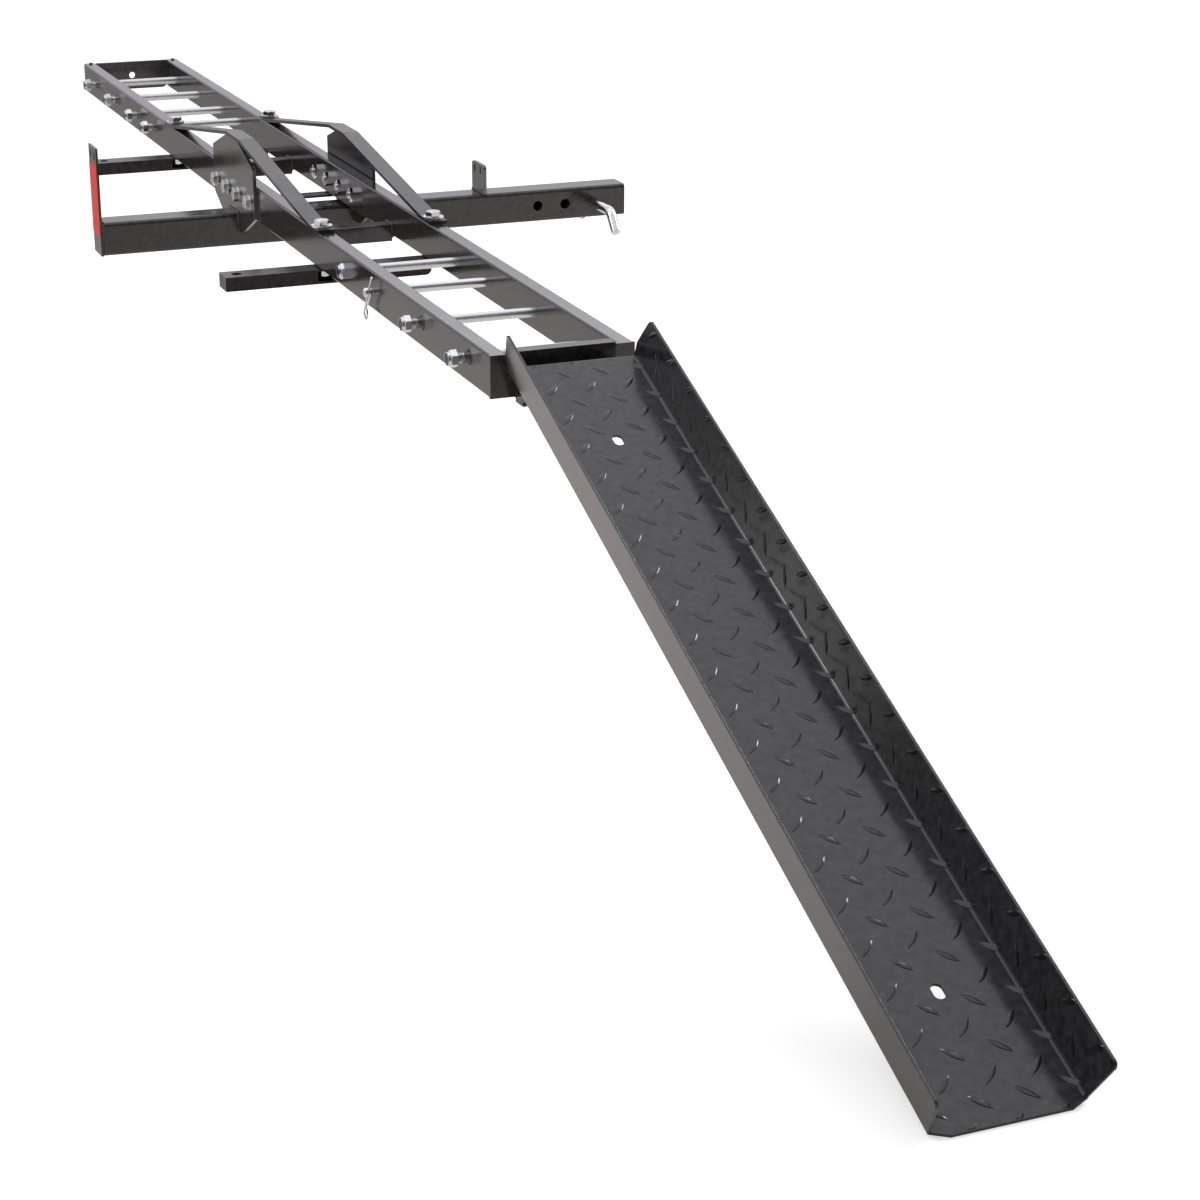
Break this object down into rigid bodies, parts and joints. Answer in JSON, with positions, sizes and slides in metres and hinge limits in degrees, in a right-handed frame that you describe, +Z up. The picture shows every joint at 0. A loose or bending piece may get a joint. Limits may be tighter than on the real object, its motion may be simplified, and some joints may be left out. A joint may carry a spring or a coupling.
{
  "type": "hitch motorcycle carrier",
  "caption": "Narrow two-rail wheel track across a square hitch bar, with braced side plates, tie-down arms, rungs, pinned clips and a hook-on tread ramp.",
  "frame": {"origin": "centre of the hitch bar's receiver end face", "axes": "+X out of the bar towards the vehicle, +Z up, ramp towards -Y"},
  "size_m": [0.8601, 3.4191, 0.485],
  "materials": {
    "black_coat": "semi-gloss black powder coat",
    "bright_zinc": "bright zinc plating",
    "spring_wire": "bright spring wire",
    "red_reflector": "red reflective strip",
    "black_plastic": "moulded end plug",
    "blue_nylon": "navy nylon insert"
  },
  "bodies": {
    "carrier": {"hitch_bar": "black_coat", "end_plate": "black_coat", "reflector": "red_reflector", "light_bracket": "black_coat", "side_plate_outer": "black_coat", "side_plate_inner": "black_coat", "tie_bar": "black_coat", "cross_brace_ramp": "black_coat", "cross_brace_tail": "black_coat", "rail_outer_ramp": "black_coat", "rail_inner_ramp": "black_coat", "rail_outer_tail": "black_coat", "rail_inner_tail": "black_coat", "ramp_end_plate": "black_coat", "tail_end_plate": "black_coat", "rail_plugs": "black_plastic", "plate_bolts": "bright_zinc", "plate_washers": "bright_zinc", "plate_nuts": "bright_zinc", "strap_outer": "black_coat", "strap_inner": "black_coat", "strap_bolts": "bright_zinc", "strap_washers": "bright_zinc", "strap_nuts": "bright_zinc", "rivet_nuts": "bright_zinc", "arm_ramp": "black_coat", "arm_tail": "black_coat", "rung_bolts": "bright_zinc", "rung_nuts": "bright_zinc", "nut_inserts": "blue_nylon"},
    "ramp": {"ramp_tray": "black_coat", "ramp_hook": "black_coat", "ramp_gussets": "black_coat", "ramp_prop": "black_coat"},
    "lock_pin": {"lock_pin": "bright_zinc"},
    "lock_clip": {"lock_clip": "spring_wire"},
    "hitch_pin": {"hitch_pin": "bright_zinc"},
    "hitch_clip": {"hitch_clip": "spring_wire"}
  },
  "joints": [
    {"name": "ramp_tilt", "type": "hinge", "parent": "carrier", "child": "ramp", "pos_m": [-0.548, -1.157, 0.0824], "axis": [-1, 0, 0], "range_deg": [0, 21.6]},
    {"name": "lock_pin_turn", "type": "hinge", "parent": "carrier", "child": "lock_pin", "pos_m": [-0.548, -0.711, 0.0564], "axis": [1, 0, 0], "continuous": true},
    {"name": "lock_clip_pull", "type": "slide", "parent": "lock_pin", "child": "lock_clip", "axis": [0, 0.5736, -0.8192], "range_m": [0, 0.06]},
    {"name": "hitch_pin_turn", "type": "hinge", "parent": "carrier", "child": "hitch_pin", "pos_m": [-0.057, 0, 0], "axis": [0, -1, 0], "continuous": true},
    {"name": "hitch_clip_pull", "type": "slide", "parent": "hitch_pin", "child": "hitch_clip", "axis": [0, 0, -1], "range_m": [0, 0.07]}
  ]
}
